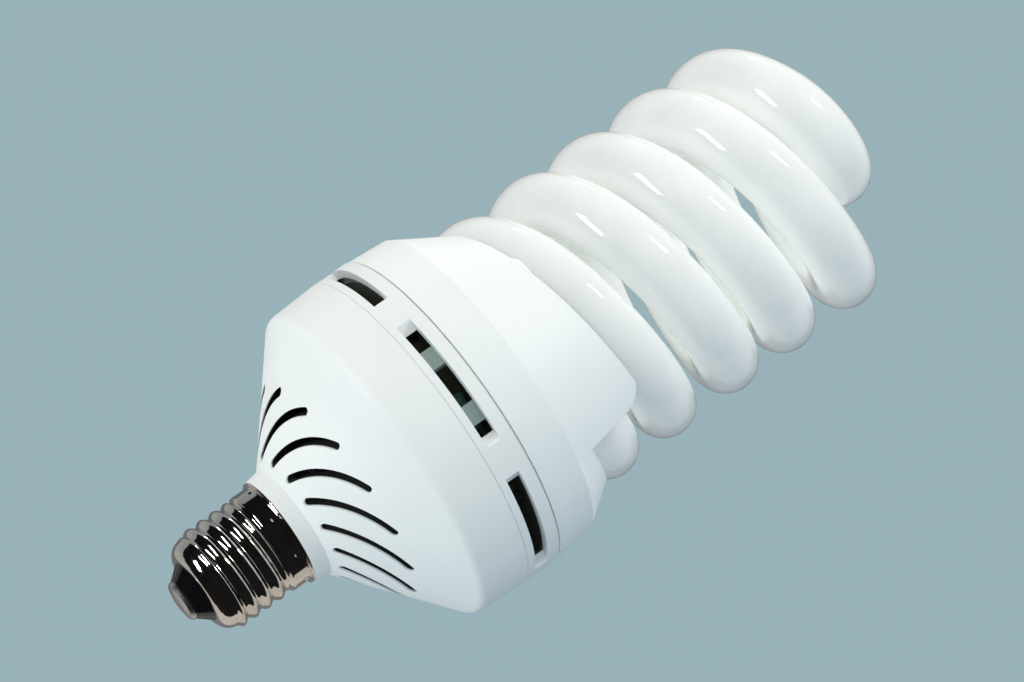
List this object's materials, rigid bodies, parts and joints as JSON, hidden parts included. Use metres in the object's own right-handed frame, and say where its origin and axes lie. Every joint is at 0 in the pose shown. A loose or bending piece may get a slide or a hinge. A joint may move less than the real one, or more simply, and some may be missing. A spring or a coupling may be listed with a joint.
{
  "type": "spiral energy saving bulb",
  "caption": "Compact fluorescent lamp: a spiral glass tube on a white vented ballast housing, with a nickel screw cap and a centre contact.",
  "frame": {"origin": "the flat tip of the centre contact, on the bulb axis", "axes": "+Z along the bulb axis from the cap to the top of the glass spiral; the picture looks along +Y"},
  "size_m": [0.086, 0.086, 0.1973],
  "materials": {
    "circuit_board": "bare phenolic paper board",
    "capacitor_sleeve": "shrink sleeved aluminium can",
    "black_glass": "black vitreous insulator, glossy",
    "solder": "tinned and slightly dulled domed contact",
    "red_lead": "insulated wire",
    "ferrite": "dark sintered ferrite",
    "winding_tape": "taped copper winding on a bobbin",
    "toroid_ferrite": "coated ferrite ring",
    "small_choke": "drum choke",
    "tip_glass": "clear glass",
    "lead_wire": "tinned wire",
    "film_capacitor_body": "dipped film capacitors",
    "fuse_body": "coated fusible resistor",
    "white_housing": "smooth white moulded housing",
    "transistor_body": "moulded transistor bodies",
    "diode_body": "moulded axial diodes",
    "nickel_shell": "bright nickel plated rolled shell",
    "silicone": "translucent white silicone sealant",
    "black_lead": "insulated wire",
    "lamp_glass": "clear glass over a matt white phosphor coat",
    "thermistor_body": "dipped ceramic disc",
    "white_cover": "smooth white moulded cover",
    "white_ring": "smooth white moulded ring",
    "pin_metal": "tinned square pins"
  },
  "bodies": {
    "root": {"ballast_board": "circuit_board", "bulk_capacitor": "capacitor_sleeve", "cap_insulator": "black_glass", "centre_contact": "solder", "centre_lead": "red_lead", "choke_core": "ferrite", "choke_winding": "winding_tape", "drive_toroid": "toroid_ferrite", "emi_choke": "small_choke", "exhaust_tips": "tip_glass", "filament_leads": "lead_wire", "film_capacitors": "film_capacitor_body", "fuse_resistor": "fuse_body", "lower_housing": "white_housing", "power_transistors": "transistor_body", "rectifier_diodes": "diode_body", "screw_shell": "nickel_shell", "seal_beads": "silicone", "shell_lead": "black_lead", "spiral_tube": "lamp_glass", "thermistor": "thermistor_body", "upper_cover": "white_cover", "vent_ring": "white_ring", "wrap_pins": "pin_metal"}
  },
  "joints": []
}
